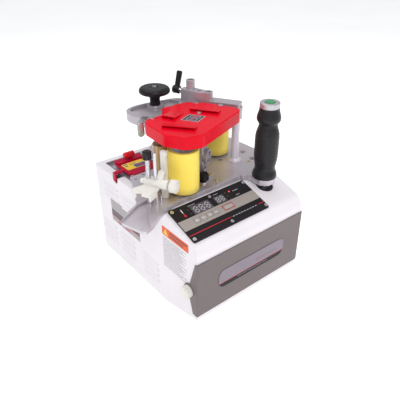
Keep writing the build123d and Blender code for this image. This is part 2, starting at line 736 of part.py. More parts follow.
with BuildPart() as star_knob:
    with BuildSketch(Plane((star_x, star_y, deck_top + 4))):
        Circle(7.0)
        with PolarLocations(6.2, 5, start_angle=20):
            Circle(2.3)
    extrude(amount=12)
    fillet(star_knob.edges().group_by(Axis.Z)[-1], 1.2)
    ring(Plane((star_x, star_y, body_top + 1)), 4.0, 0, deck_t + 3)
write(star_knob, "star_knob")

# ---------------------------------------------------------------- upper casting
cover_top_t, cover_wall = 3.0, 2.5
cover_screws = [(110, 22.4), (112.5, -20.9), (67.7, 0.2), (19.5, 60.0)]
col_a, col_t = 132.0, -43.4
block_top = 312.0
bolt_a, bolt_b, bolt_c = (49.5, -17.0), (43.2, -0.7), (37.8, 16.4)
lever_x, lever_y, lever_z = 27.0, 42.0, 307.0
lever_dir = (-0.326, 0.945, 0)
hub_plane = Plane((lever_x, lever_y, lever_z), x_dir=(0.945, 0.326, 0), z_dir=lever_dir)
hold_x, hold_y = -21.0, 40.5
arm_low = 276.0

with BuildPart() as casting:
    # plate under the cover and the tongue over the pressure roller
    with BuildSketch(line_plane(plate_low)):
        Polygon((-20, -20), (-24, 12), (-6, 48), (13, 58), (24, 60), (60, 70), (100, 60),
                (123, 12), (123, -50), (60, -38), (0, -26), align=None)
    extrude(amount=plate_high - plate_low)
    with BuildSketch(line_plane(cover_low + 4)):
        with Locations((148, 0)):
            RectangleRounded(32, 26, 8)
    extrude(amount=plate_high - cover_low - 4)
    # hollow end box that stands on the column
    with BuildSketch(line_plane(cover_low)):
        with Locations((132, -23)):
            RectangleRounded(22, 54, 2.5)
    extrude(amount=27)
    with BuildSketch(line_plane(cover_low - 1)):
        with Locations((132, -23)):
            Rectangle(16, 48)
    extrude(amount=24, mode=Mode.SUBTRACT)
    # rear arm, dished behind a raised rim
    with BuildSketch(Plane.XY.offset(arm_low)) as arm:
        with BuildLine():
            edge = Spline((35, 38), (18, 50), (-1, 53), (-25, 57), (-50, 58), (-66, 54),
                          (-75, 46), (-80, 28), (-77, 8))
            Polyline(edge @ 1, (-68, -21), (-40, -12), (0, -10), (56, -24), (56, 0), edge @ 0)
        make_face()
    extrude(amount=plate_high - arm_low)
    with BuildSketch(Plane.XY.offset(plate_high - 5)):
        with BuildLine():
            dish = Spline((14, 46), (-2, 49), (-25, 52.5), (-49, 53), (-62, 50), (-69, 43))
            Polyline(dish @ 1, (-71, 38), (-31.6, 9), (6, 9), (22, 30), dish @ 0)
        make_face()
        with Locations((hold_x, hold_y)):
            Circle(15, mode=Mode.SUBTRACT)
        with BuildLine():
            Polyline((24, 14), (50, -2), (50, 40), (24, 60), close=True)
        make_face(mode=Mode.SUBTRACT)
    extrude(amount=6, mode=Mode.SUBTRACT)
    # underside kept thin between its rims
    with BuildSketch(Plane.XY.offset(arm_low - 1)):
        with BuildLine():
            Polyline((10, 45), (-25, 52), (-50, 53), (-64, 49), (-71, 42), (-75, 28),
                     (-72, 8), (-64, -14), (-40, -6), (0, -4), (10, 10), close=True)
        make_face()
        with Locations((hold_x, hold_y)):
            Circle(9, mode=Mode.SUBTRACT)
    extrude(amount=5.5, mode=Mode.SUBTRACT)
    # clamping block with its three sockets
    with BuildSketch(Plane.XY.offset(plate_high - 1)) as block:
        with BuildLine():
            Polyline((24.5, 27), (34.5, 32), (47, 18), (52, 0), (57, -17), (42, -19),
                     (33, -2), (28, 14), close=True)
        make_face()
    extrude(amount=block_top - plate_high + 1)
    ring(Plane((*bolt_a, plate_high - 1)), 8.0, 0, block_top - plate_high + 2)
    ring(Plane((*bolt_c, plate_high - 1)), 7.6, 0, 329 - plate_high)
    for x, y, radius, depth in ((*bolt_a, 4.6, 16), (*bolt_b, 3.6, 8), (*bolt_c, 4.8, 34)):
        top = 328 if radius == 4.8 else block_top + 1
        with BuildSketch(Plane((x, y, top - depth))) as socket:
            Circle(radius)
        extrude(socket.sketch, amount=depth + 2, mode=Mode.SUBTRACT)
    # slit that lets the lever close the tall socket
    with BuildSketch(Plane((*bolt_c, 300), x_dir=(-0.326, 0.945, 0), z_dir=(0, 0, 1))) as slit:
        with Locations((9, 0)):
            Rectangle(18, 1.6)
    extrude(slit.sketch, amount=30, mode=Mode.SUBTRACT)
    # boss of the hand knob
    ring(Plane((hold_x, hold_y, plate_high - 6)), 13.0, 0, 7)
    # bearing pockets, column socket and cover screw posts
    for a, t in ((0, 0), (roller_gap, 0), (0, glue_t)):
        with BuildSketch(line_plane(plate_low - 5, a, t)) as pocket:
            Circle(bush_r)
        extrude(pocket.sketch, amount=20, mode=Mode.SUBTRACT)
    ring(line_plane(cover_low, col_a, col_t), 10.0, 4.0, 20)
    for a, t in cover_screws:
        ring(line_plane(plate_low, a, t), 3.6, 0, cover_high - cover_top_t - plate_low)
        with BuildSketch(line_plane(plate_low + 2, a, t)) as tapping:
            Circle(2.0)
        extrude(tapping.sketch, amount=20, mode=Mode.SUBTRACT)
    # stud hole of the clamping lever and tapped hole of the hand knob
    with BuildSketch(hub_plane.offset(-20)) as stud:
        Circle(3.05)
    extrude(stud.sketch, amount=14, mode=Mode.SUBTRACT)
    with BuildSketch(line_plane(cover_low, col_a, col_t)) as spigot:
        Circle(4.0)
    extrude(spigot.sketch, amount=14, mode=Mode.SUBTRACT)
    with BuildSketch(Plane((hold_x, hold_y, plate_high - 12))) as tapped:
        Circle(4.0)
    extrude(tapped.sketch, amount=16, mode=Mode.SUBTRACT)
write(casting, "upper_casting")

with BuildPart() as lug:
    # flat steel tab that hangs from the arm's front corner
    with BuildSketch(Plane.XY.offset(plate_high)):
        Polygon((-95.2, -18.3), (-84.6, -21.2), (-64, -5), (-72, 4), align=None)
    extrude(amount=2)
    with BuildSketch(Plane((-89.9, -19.7, 0), x_dir=(0.96, -0.27, 0), z_dir=(-0.27, -0.96, 0))):
        with Locations((0, 281)):
            SlotOverall(22, 11, rotation=90)
    extrude(amount=2.5)
write(lug, "corner_tab")

# -------------------------------------------------------------------- red cover
cover_outline = [(-30.5, -17), (-13, -37), (113.5, -60), (119.0, 8), (110.5, 40), (68.9, 66),
                 (40, 52.5), (16, 67), (4, 65), (-3, 58.5), (-30, 17.5)]
with BuildPart() as cover:
    with BuildSketch(line_plane(skirt_low)) as outline:
        Polygon(*cover_outline, align=None)
        for a, t, radius in ((-30.5, -17, 14), (-13, -37, 14), (-30, 17.5, 16),
                             (113.5, -60, 14)):
            fillet(outline.vertices().sort_by_distance(Vector(a, t, 0))[0], radius)
    extrude(amount=cover_high - skirt_low)
    with BuildSketch(line_plane(skirt_low)) as inner:
        add(outline.sketch_local)
        offset(amount=-cover_wall, kind=Kind.INTERSECTION)
    extrude(inner.sketch, amount=cover_high - cover_top_t - skirt_low, mode=Mode.SUBTRACT)
    fillet(cover.faces().sort_by(Axis.Z)[-1].outer_wire().edges(), 2.0)
    # the casting leaves through the open rear and right side
    with BuildSketch(line_plane(skirt_low)) as opening:
        Polygon((17, 90), (17, 50), (60, 0), (112, -53.5), (140, -53.5), (140, 90),
                align=None)
    extrude(opening.sketch, amount=cover_high - cover_top_t - skirt_low, mode=Mode.SUBTRACT)
    # three raised scoops, each a wedge over a dark slot
    for a, t, turn, width, depth, rise in ((-2.3, -20.9, 8, 52, 19, 4.5),
                                           (73.5, -30.8, 3, 49, 17, 4.5),
                                           (25.5, 24.4, -4, 23, 36, 4.5)):
        c, s = cos(radians(line_angle + turn)), sin(radians(line_angle + turn))
        side_face = Plane(origin=(*along(a, t), cover_high - 1), x_dir=(c, s, 0),
                          z_dir=(s, -c, 0))
        with BuildSketch(side_face) as wedge:
            Polygon((0, 0), (0, rise + 1), (1.5, rise + 1), (depth, 0.8), (depth, 0),
                    align=None)
        extrude(wedge.sketch, amount=-width)
        with BuildSketch(side_face.offset(-2)) as slot:
            Polygon((-1, 1.4), (-1, rise - 0.6), (6, rise - 0.6), (6, 1.4), align=None)
        extrude(slot.sketch, amount=-(width - 4), mode=Mode.SUBTRACT)
    for a, t in cover_screws:
        with BuildSketch(line_plane(cover_low, a, t)) as hole:
            Circle(2.2)
        extrude(hole.sketch, amount=30, mode=Mode.SUBTRACT)
write(cover, "top_cover")

# ---------------------------------------------------- hand knob and clamp lever
knob_low = plate_high + 1.0
knob_seat = 29.5
with BuildPart() as hand_knob:
    with BuildSketch(Plane.XZ.offset(-hold_y)):
        with BuildLine():
            foot = Line((hold_x, knob_low), (hold_x + 9.5, knob_low))
            stem = Spline(foot @ 1, (hold_x + 8.6, knob_low + 7), (hold_x + 10.5,
                          knob_low + 15), (hold_x + 20, knob_low + 19.5))
            rim = Spline(stem @ 1, (hold_x + 26.5, knob_low + 23), (hold_x + 25,
                         knob_low + 28), (hold_x + 14, knob_low + 30.6), (hold_x + 6,
                         knob_low + 31.2))
            Polyline(rim @ 1, (hold_x + 6, knob_low + knob_seat), (hold_x, knob_low +
                     knob_seat), foot @ 0)
        make_face()
    revolve(axis=Axis((hold_x, hold_y, 0), (0, 0, 1)))
    ring(Plane((hold_x, hold_y, knob_low - 12)), 3.95, 0, 13)
    with BuildSketch(Plane((hold_x, hold_y, knob_low + knob_seat - 11))) as tapping:
        Circle(2.0)
    extrude(tapping.sketch, amount=20, mode=Mode.SUBTRACT)
write(hand_knob, "hand_knob")

with BuildPart() as pan_screws:
    # four through the cover, one in the top of the hand knob
    screw_seats = [line_plane(cover_high, a, t) for a, t in cover_screws]
    screw_seats.append(Plane((hold_x, hold_y, knob_low + knob_seat)))
    for seat in screw_seats:
        ring(seat, 4.2, 0, 1.0)
        ring(seat.offset(1), 3.4, 0, 1.2)
        ring(seat.offset(-10), 2.0, 0, 10)
        with BuildSketch(seat.offset(0.8)) as socket:
            RegularPolygon(1.7, 6)
        extrude(socket.sketch, amount=3, mode=Mode.SUBTRACT)
write(pan_screws, "pan_screws")

with BuildPart() as lever:
    ring(hub_plane.offset(-6.5), 7.0, 0, 13)
    fillet(lever.edges().filter_by(GeomType.CIRCLE), 1.5)
    arm_root = Plane((lever_x, lever_y, lever_z), x_dir=(1, 0, 0), z_dir=(0.341, 0.118, 1))
    with BuildSketch(arm_root) as arm_a:
        Ellipse(4.8, 4.2)
    with BuildSketch(arm_root.offset(32)) as arm_b:
        Ellipse(5.6, 4.4)
    loft([arm_a.sketch.face(), arm_b.sketch.face()])
    fillet(lever.edges().group_by(Axis.Z)[-1], 2.5)
write(lever, "clamp_lever")

with BuildPart() as lever_stud:
    ring(hub_plane.offset(-17.5), 3.0, 0, 11)
    ring(hub_plane.offset(-9.5), 4.6, 0, 3)
write(lever_stud, "lever_stud")

# --------------------------------------------------------------------- glue box
pot_x0, pot_x1, pot_y0, pot_y1 = -99.0, -40.0, -34.0, 74.0
pot_low, pot_high = 122.0, 182.8
hinge_y, hinge_z = 9.5, 187.5
with BuildPart() as pot:
    mid = ((pot_x0 + pot_x1) / 2, (pot_y0 + pot_y1) / 2)
    with Locations((*mid, pot_low)):
        Box(pot_x1 - pot_x0, pot_y1 - pot_y0, pot_high - pot_low,
            align=(Align.CENTER, Align.CENTER, Align.MIN))
    with Locations((mid[0], mid[1], pot_low + 12)):
        Box(pot_x1 - pot_x0 - 12, pot_y1 - pot_y0 - 12, 80, mode=Mode.SUBTRACT,
            align=(Align.CENTER, Align.CENTER, Align.MIN))
    # front part closed by the deck, rim let in below it
    with Locations((mid[0], pot_y0, pot_high)):
        Box(40, 12.5, 0.4, align=(Align.CENTER, Align.MIN, Align.CENTER))
    # lugs for the lid's hinge pin
    for x in (-95.5, -43.0):
        with Locations((x, hinge_y, pot_high - 6)):
            Box(4, 7, 8, align=(Align.CENTER, Align.CENTER, Align.MIN))
        with BuildSketch(Plane.YZ.offset(x - 2)) as ear:
            with Locations((hinge_y, hinge_z)):
                Circle(3.4)
        extrude(ear.sketch, amount=4)
    with BuildSketch(Plane.YZ.offset(pot_x0 - 1)) as pin_hole:
        with Locations((hinge_y, hinge_z)):
            Circle(1.5)
    extrude(pin_hole.sketch, amount=80, mode=Mode.SUBTRACT)
    # bores of the two heater cartridges
    with BuildSketch(Plane.XZ.offset(-pot_y1 - 1)) as heaters:
        with Locations((mid[0] - 14, pot_low + 6), (mid[0] + 14, pot_low + 6)):
            Circle(4.0)
    extrude(heaters.sketch, amount=90, mode=Mode.SUBTRACT)
write(pot, "glue_pot")

with BuildPart() as heater_cartridges:
    for x in (mid[0] - 14, mid[0] + 14):
        ring(Plane((x, pot_y1 + 6, pot_low + 6), x_dir=(1, 0, 0), z_dir=(0, -1, 0)), 4.0, 0, 80)
write(heater_cartridges, "heater_cartridges")

with BuildPart() as hinge_pin:
    ring(Plane((pot_x0 + 1, hinge_y, hinge_z), x_dir=(0, 1, 0), z_dir=(1, 0, 0)), 1.5, 0, 57)
write(hinge_pin, "lid_pin")

with BuildPart() as lid:
    with BuildSketch(Plane.XY.offset(deck_top - 2.7)):
        with BuildLine():
            Polyline((lid_left, lid_front), (lid_right, lid_front), (lid_right, lid_back),
                     (lid_left + 8, lid_back), (lid_left, lid_back - 8), close=True)
        make_face()
    extrude(amount=2.2)
    # raised rear field with a stepped edge
    with BuildSketch(Plane.XY.offset(deck_top - 0.5)):
        with Locations(((lid_left + lid_right) / 2, lid_back - 9)):
            Rectangle(lid_right - lid_left - 6, 16)
    extrude(amount=2.5)
    # hinge barrel between the pot's lugs, rim underneath
    with BuildSketch(Plane.YZ.offset(-93.0)) as barrel:
        with Locations((hinge_y, hinge_z)):
            Circle(3.2)
        with Locations((hinge_y + 0.5, hinge_z + 1.5)):
            Rectangle(4.5, 3)
    extrude(barrel.sketch, amount=47.5)
    with Locations((mid[0], 45, deck_top - 2.7)):
        Box(40, 46, 3.5, align=(Align.CENTER, Align.CENTER, Align.MAX))
        Box(36, 42, 9, mode=Mode.SUBTRACT, align=(Align.CENTER, Align.CENTER, Align.MAX))
    # recesses over the two lugs
    for x in (-95.5, -43.0):
        with Locations((x, hinge_y, deck_top - 2.8)):
            Box(4.8, 8.4, 2.6, mode=Mode.SUBTRACT,
                align=(Align.CENTER, Align.CENTER, Align.MIN))
    with BuildSketch(Plane.YZ.offset(-100)) as lid_bore:
        with Locations((hinge_y, hinge_z)):
            Circle(1.5 + running)
    extrude(lid_bore.sketch, amount=70, mode=Mode.SUBTRACT)
    # lifting tab that drops into the housing's notch
    with Locations((lid_left + 1, 35, deck_top - 2.7)):
        Box(18, 8, 2.2, align=(Align.MAX, Align.CENTER, Align.MIN))
    with Locations((lid_left - 17, 35, deck_top - 0.5)):
        Box(2.4, 8, 16, align=(Align.CENTER, Align.CENTER, Align.MAX))
write(lid, "glue_lid")

lid_knob_y, lid_knob_z = 64.0, deck_top + 9.0
with BuildPart() as lid_knob:
    # short bar with a rounded end, lying on a post
    ring(Plane((-66, lid_knob_y, deck_top + 2)), 3.6, 0, 6)
    bar = ring(Plane((-58, lid_knob_y, lid_knob_z), x_dir=(0, 1, 0), z_dir=(-1, 0, 0)), 5.5, 0, 20)
    fillet(lid_knob.edges().group_by(Axis.X)[0], 2.5)
    fillet(lid_knob.edges().group_by(Axis.X)[-1], 1.0)
write(lid_knob, "lid_knob")

# ------------------------------------------------------------- electrical pieces
with BuildPart() as board:
    with BuildSketch(slope_plane.offset(-14)) as board_face:
        with Locations((-32, -38)):
            Rectangle(150, 54)
    extrude(board_face.sketch, amount=1.6)
    with BuildSketch(slope_plane.offset(-12.4)) as stands:
        for x in (-102, 38):
            for y in (-16, -60):
                with Locations((x, y)):
                    Circle(3)
    extrude(stands.sketch, amount=10.4)
    with BuildSketch(slope_plane.offset(-12.4)) as chips:
        for x, w in ((-78, 30), (-30, 22), (8, 26)):
            with Locations((x, -46)):
                Rectangle(w, 18)
    extrude(chips.sketch, amount=5)
write(board, "control_board")

with BuildPart() as transformer:
    with Locations((52, -20, 2)):
        Box(66, 56, 58, align=(Align.CENTER, Align.CENTER, Align.MIN))
        Box(80, 56, 4, align=(Align.CENTER, Align.CENTER, Align.MIN))
    with Locations((52, -20, 12)):
        Box(44, 74, 38, align=(Align.CENTER, Align.CENTER, Align.MIN))
write(transformer, "transformer")

rear = Plane((0, body_back, 0), x_dir=(-1, 0, 0), z_dir=(0, 1, 0))
switch_x, switch_z = 78.0, 50.0
with BuildPart() as inlet:
    # appliance inlet with three pins, and the well of the main switch beside it
    with BuildSketch(rear) as flange:
        with Locations((-58, 50)):
            RectangleRounded(62, 30, 3)
    extrude(flange.sketch, amount=2)
    with BuildSketch(rear.offset(-16)) as bodies:
        with Locations((-45, 50)):
            Rectangle(27, 20)
        with Locations((-switch_x, switch_z)):
            Rectangle(13, 19)
    extrude(bodies.sketch, amount=16)
    with BuildSketch(rear.offset(-12)) as openings:
        with Locations((-45, 50)):
            Rectangle(24, 17)
        with Locations((-switch_x, switch_z)):
            Rectangle(10, 16)
    extrude(openings.sketch, amount=15, mode=Mode.SUBTRACT)
    with BuildSketch(rear.offset(-12)) as pins:
        with Locations((-45, 53), (-38, 48), (-52, 48)):
            Rectangle(2, 4)
    extrude(pins.sketch, amount=10)
write(inlet, "power_inlet")

with BuildPart() as rocker:
    with BuildSketch(Plane.YZ.offset(switch_x - 4.6)) as rocker_side:
        with BuildLine():
            Polyline((body_back - 3, switch_z - 6.6), (body_back + 2.6, switch_z - 7.2),
                     (body_back + 3.2, switch_z), (body_back + 5.4, switch_z + 6.6),
                     (body_back - 1, switch_z + 6.6), (body_back - 5, switch_z + 2),
                     (body_back - 5, switch_z - 2), close=True)
        make_face()
    extrude(rocker_side.sketch, amount=9.2)
write(rocker, "main_switch")
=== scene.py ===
"""Edge banding machine: looks, prints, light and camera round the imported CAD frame."""
import json
from math import atan2, cos, pi, radians, sin

import bmesh
import bpy
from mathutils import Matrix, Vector


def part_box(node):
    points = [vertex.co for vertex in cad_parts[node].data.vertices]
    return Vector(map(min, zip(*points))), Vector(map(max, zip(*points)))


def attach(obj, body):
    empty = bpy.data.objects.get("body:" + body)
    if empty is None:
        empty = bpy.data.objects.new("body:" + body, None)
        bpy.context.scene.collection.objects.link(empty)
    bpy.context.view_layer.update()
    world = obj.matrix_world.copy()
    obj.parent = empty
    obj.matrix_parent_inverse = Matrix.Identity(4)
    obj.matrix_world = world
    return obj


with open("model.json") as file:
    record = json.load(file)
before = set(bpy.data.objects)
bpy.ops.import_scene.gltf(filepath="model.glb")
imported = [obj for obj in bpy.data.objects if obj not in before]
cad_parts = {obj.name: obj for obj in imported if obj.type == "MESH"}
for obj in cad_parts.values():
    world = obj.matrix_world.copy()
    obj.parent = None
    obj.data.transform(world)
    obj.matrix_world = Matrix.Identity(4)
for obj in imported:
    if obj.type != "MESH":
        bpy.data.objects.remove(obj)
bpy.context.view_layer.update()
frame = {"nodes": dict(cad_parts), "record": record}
nodes = frame["nodes"]
MM = 0.001
BLACK, WHITE = (0, 0, 0), (1, 1, 1)
NOISE_LOW, NOISE_HIGH = 0.3, 0.7  # a noise keeps mostly between these
COVER_TOP = 0.297  # flat top of the red cover, metres above the floor

# ------------------------------------------------------------------ materials


class Graph:
    """A small builder for one procedural material; lengths are metres in the shared frame."""

    def __init__(self, name, rough, metal=0.0, coat=0.0, spec=0.5):
        self.mat = bpy.data.materials.new(name)
        self.mat.use_nodes = True
        self.tree = self.mat.node_tree
        self.bsdf = self.tree.nodes["Principled BSDF"]
        self.bsdf.inputs["Metallic"].default_value = metal
        self.bsdf.inputs["Roughness"].default_value = rough
        self.bsdf.inputs["Coat Weight"].default_value = coat
        self.bsdf.inputs["Coat Roughness"].default_value = 0.12
        self.bsdf.inputs["Specular IOR Level"].default_value = spec
        self.place = self.add("ShaderNodeTexCoord").outputs["Object"]

    def add(self, kind, **values):
        node = self.tree.nodes.new(kind)
        for key, value in values.items():
            setattr(node, key, value)
        return node

    def link(self, a, b):
        self.tree.links.new(a, b)

    def noise(self, scale, detail=4.0, stretch=None):
        node = self.add("ShaderNodeTexNoise")
        node.inputs["Scale"].default_value = scale
        node.inputs["Detail"].default_value = detail
        node.inputs["Roughness"].default_value = 0.55
        source = self.place
        if stretch:
            mapping = self.add("ShaderNodeMapping")
            mapping.inputs["Scale"].default_value = stretch
            self.link(self.place, mapping.inputs["Vector"])
            source = mapping.outputs["Vector"]
        self.link(source, node.inputs["Vector"])
        return node.outputs["Fac"]

    def ramp(self, source, stops):
        node = self.add("ShaderNodeValToRGB")
        ramp = node.color_ramp
        while len(ramp.elements) < len(stops):
            ramp.elements.new(0.5)
        for element, (position, color) in zip(ramp.elements, stops):
            element.position = position
            element.color = (*color, 1)
        self.link(source, node.inputs["Fac"])
        return node.outputs["Color"]

    def drift(self, source, color, vary):
        """The colour, a little darker where the source is low and lighter where it is high."""
        return self.ramp(source, [(NOISE_LOW, shade(color, 1 - vary)),
                                  (NOISE_HIGH, shade(color, 1 + vary))])

    def rise(self, source, start, end):
        return self.ramp(source, [(start, BLACK), (end, WHITE)])

    def fall(self, source, start, end):
        return self.ramp(source, [(start, WHITE), (end, BLACK)])

    def xyz(self):
        split = self.add("ShaderNodeSeparateXYZ")
        self.link(self.place, split.inputs[0])
        return split.outputs[0], split.outputs[1], split.outputs[2]

    def mix(self, fac, a, b):
        node = self.add("ShaderNodeMix", data_type="RGBA")
        self.link(fac, node.inputs["Factor"])
        for socket, value in ((node.inputs[6], a), (node.inputs[7], b)):
            if isinstance(value, tuple):
                socket.default_value = (*value, 1)
            else:
                self.link(value, socket)
        return node.outputs[2]

    def math(self, kind, a, b=0.0):
        node = self.add("ShaderNodeMath", operation=kind)
        for socket, value in zip(node.inputs, (a, b)):
            if isinstance(value, (int, float)):
                socket.default_value = value
            else:
                self.link(value, socket)
        return node.outputs[0]

    def above(self, source, level):
        return self.math("GREATER_THAN", source, level)

    def between(self, source, low, high):
        """1 where the source lies between the two levels, else 0."""
        return self.math("MULTIPLY", self.above(source, low),
                         self.math("LESS_THAN", source, high))

    def color(self, source):
        self.link(source, self.bsdf.inputs["Base Color"])

    def rough(self, source, low, high):
        node = self.add("ShaderNodeMapRange")
        node.inputs["From Min"].default_value = NOISE_LOW
        node.inputs["From Max"].default_value = NOISE_HIGH
        node.inputs["To Min"].default_value = low
        node.inputs["To Max"].default_value = high
        self.link(source, node.inputs["Value"])
        self.link(node.outputs["Result"], self.bsdf.inputs["Roughness"])

    def bump(self, source, strength, distance, edge=0.0004):
        node = self.add("ShaderNodeBump")
        node.inputs["Strength"].default_value = strength
        node.inputs["Distance"].default_value = distance
        self.link(source, node.inputs["Height"])
        if edge:
            bevel = self.add("ShaderNodeBevel", samples=4)
            bevel.inputs["Radius"].default_value = edge
            self.link(bevel.outputs["Normal"], node.inputs["Normal"])
        self.link(node.outputs["Normal"], self.bsdf.inputs["Normal"])


def shade(color, k):
    return tuple(min(1.0, c * k) for c in color)


def painted(name, color, rough, grain=900, vary=0.06, depth=0.00008, coat=0.0, edge=0.0005,
            wear=None, spec=0.3):
    """Paint or moulded plastic: fine texture, slow colour drift, optional worn edges."""
    g = Graph(name, rough, coat=coat, spec=spec)
    base = g.drift(g.noise(14, 3), color, vary)
    if wear:
        geo = g.add("ShaderNodeNewGeometry")
        edge_mask = g.rise(geo.outputs["Pointiness"], 0.54, 0.60)
        broken = g.rise(g.noise(160, 5), 0.50, 0.62)
        base = g.mix(g.math("MULTIPLY", edge_mask, broken), base, wear)
    g.color(base)
    fine = g.noise(grain, 5)
    g.rough(fine, rough - 0.06, rough + 0.08)
    g.bump(fine, 0.35, depth, edge)
    return g.mat


def metal(name, color, rough, stretch=(1, 1, 1), grain=500, vary=0.07, depth=0.00004,
          edge=0.0004, metallic=1.0):
    """Bare metal: brushed along one axis where stretch says so, with cloudy handling marks."""
    g = Graph(name, rough, metal=metallic)
    g.color(g.drift(g.noise(22, 4), color, vary))
    lines = g.noise(grain, 3, stretch)
    g.rough(lines, max(0.04, rough - 0.07), rough + 0.1)
    g.bump(lines, 0.3, depth, edge)
    return g.mat


def glowing(name, color, strength):
    """A lit lens of one colour."""
    g = Graph(name, 0.4)
    tint = g.ramp(g.noise(700, 2), [(NOISE_LOW, shade(color, 0.85)), (NOISE_HIGH, color)])
    g.color(tint)
    g.link(tint, g.bsdf.inputs["Emission Color"])
    g.bsdf.inputs["Emission Strength"].default_value = strength
    return g.mat


def chevron_grip():
    """Moulded hand grip: chevrons meeting at a seam, cut into its waist only."""
    low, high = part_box("handle_grip")
    mid = (low + high) / 2
    plain_foot, plain_head = 0.018, 0.034
    pitch, drop = 0.0048, 0.012
    seam_side = radians(129)  # the seam faces the front left
    g = Graph("grip_moulding", 0.34, coat=0.05, spec=0.25)
    x, y, z = g.xyz()
    turn = g.math("ARCTAN2", g.math("SUBTRACT", y, mid.y), g.math("SUBTRACT", x, mid.x))
    side = g.math("ABSOLUTE", g.math("SINE", g.math("ADD", turn, seam_side)))
    height = g.math("ADD", z, g.math("MULTIPLY", side, drop))
    wave = g.math("SINE", g.math("MULTIPLY", height, 2 * pi / pitch))
    ridge = g.math("SMOOTH_MAX", wave, 0.1)
    waist = g.between(z, low.z + plain_foot, high.z - plain_head)
    seam = g.above(side, 0.09)
    pattern = g.math("MULTIPLY", g.math("MULTIPLY", ridge, waist), seam)
    fine = g.noise(1500, 3)
    g.color(g.ramp(fine, [(NOISE_LOW, (0.010, 0.009, 0.011)),
                          (NOISE_HIGH, (0.020, 0.019, 0.022))]))
    g.rough(fine, 0.28, 0.44)
    g.bump(g.math("ADD", pattern, g.math("MULTIPLY", fine, 0.12)), 0.9, 0.0007, 0)
    return g.mat


def cast_deck():
    """Machined casting, warm brown by the feed roller on the tape line: a painted reflection of
    the yellow tyre, mixed with glue stain.
    """
    # centre, full reach and end of the painted reflection of the yellow tyre on the deck
    reflection_place, reflection_full, reflection_end = (-0.060, -0.075, 0.192), 0.030, 0.062
    g = Graph("deck_casting", 0.33, metal=0.55)
    base = g.ramp(g.noise(18, 4), [(NOISE_LOW, (0.53, 0.485, 0.53)),
                                   (NOISE_HIGH, (0.61, 0.565, 0.61))])
    where = g.add("ShaderNodeVectorMath", operation="DISTANCE")
    g.link(g.place, where.inputs[0])
    where.inputs[1].default_value = reflection_place
    near = g.fall(where.outputs["Value"], reflection_full, reflection_end)
    reflection_patches = g.rise(g.noise(60, 5), 0.38, 0.62)
    # painted reflection of the yellow tyre, broken into patches, mixed into the casting's colour
    g.color(g.mix(g.math("MULTIPLY", near, reflection_patches), base, (0.34, 0.24, 0.13)))
    lines = g.noise(420, 4, (1, 6, 1))
    g.rough(lines, 0.26, 0.42)
    g.bump(lines, 0.28, 0.00005, 0.0007)
    return g.mat


def glue_coat():
    """Steel roller under brown runs of set glue."""
    g = Graph("glue_coated_roller", 0.25, metal=0.2, coat=0.5)
    runs = g.noise(260, 5, (1, 1, 0.12))
    g.color(g.ramp(runs, [(0.30, (0.16, 0.075, 0.022)), (0.52, (0.36, 0.20, 0.075)),
                          (0.72, (0.55, 0.40, 0.22))]))
    g.rough(runs, 0.16, 0.5)
    g.bump(runs, 0.6, 0.0006)
    return g.mat


def rubber_tyre():
    """Yellow rubber, with brown painted shade round its foot."""
    low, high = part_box("feed_roller_tyre")
    g = Graph("yellow_tyre", 0.42, spec=0.25)
    wide = g.noise(26, 3, (1, 1, 0.3))
    base = g.ramp(wide, [(NOISE_LOW, (0.90, 0.68, 0.10)), (NOISE_HIGH, (0.96, 0.76, 0.15))])
    x, y, z = g.xyz()
    # painted shade: the tyre darkens to brown towards its foot
    foot = g.fall(z, low.z + 0.002, low.z + 0.011)
    painted_foot_shade = g.math("MULTIPLY", foot, g.noise(240, 4))
    g.color(g.mix(painted_foot_shade, base, (0.33, 0.24, 0.10)))
    ground = g.noise(1200, 3, (1, 1, 0.2))
    g.rough(ground, 0.36, 0.52)
    g.bump(ground, 0.25, 0.00006, 0.0006)
    return g.mat


def badge_print():
    """Silver name plate without a name: dark foot band, red line, a few plain bars."""
    low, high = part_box("badge_plate")
    middle = (low.z + high.z) / 2
    past = 0.2  # past either end of the plate
    # left, right, bottom and top about the middle of the plate, and the printed colour
    bars = ((-past, past, -past, -0.0084, (0.010, 0.010, 0.014)),
            (-past, past, -0.0081, -0.0072, (0.55, 0.02, 0.04)),
            (0.006, 0.034, 0.0042, 0.0048, (0.50, 0.05, 0.07)),
            (0.006, 0.058, 0.0004, 0.0014, (0.12, 0.11, 0.13)),
            (-0.034, 0.034, -0.0122, -0.0114, (0.30, 0.28, 0.30)))
    g = Graph("badge_silver_print", 0.34, spec=0.2)
    x, y, z = g.xyz()
    look = g.ramp(g.noise(14, 3), [(NOISE_LOW, (0.232, 0.202, 0.240)),
                                   (NOISE_HIGH, (0.246, 0.214, 0.254))])
    for left, right, bottom, top, color in bars:
        area = g.math("MULTIPLY", g.between(x, left, right),
                      g.between(z, middle + bottom, middle + top))
        look = g.mix(area, look, color)
    g.color(look)
    fine = g.noise(1500, 5)
    g.rough(fine, 0.30, 0.44)
    g.bump(fine, 0.35, 0.00002, 0.0003)
    return g.mat


def scooped_cover():
    """Gloss red paint; only the raised scoops are rough to the touch."""
    g = Graph("cover_red", 0.30, coat=0.03, spec=0.12)
    g.color(g.ramp(g.noise(10, 2), [(NOISE_LOW, (0.66, 0.0005, 0.012)),
                                    (NOISE_HIGH, (0.73, 0.001, 0.018))]))
    x, y, z = g.xyz()
    raised = g.above(z, COVER_TOP + 0.0004)
    g.rough(g.noise(300, 3), 0.26, 0.36)
    g.bump(g.math("MULTIPLY", raised, g.noise(420, 3)), 0.7, 0.0006, 0)
    return g.mat


def turned(name, color, rough, along, **settings):
    """Metal turned or brushed round an upright axis; along is how far its lines run up it."""
    return metal(name, color, rough, stretch=(1, 1, along), **settings)


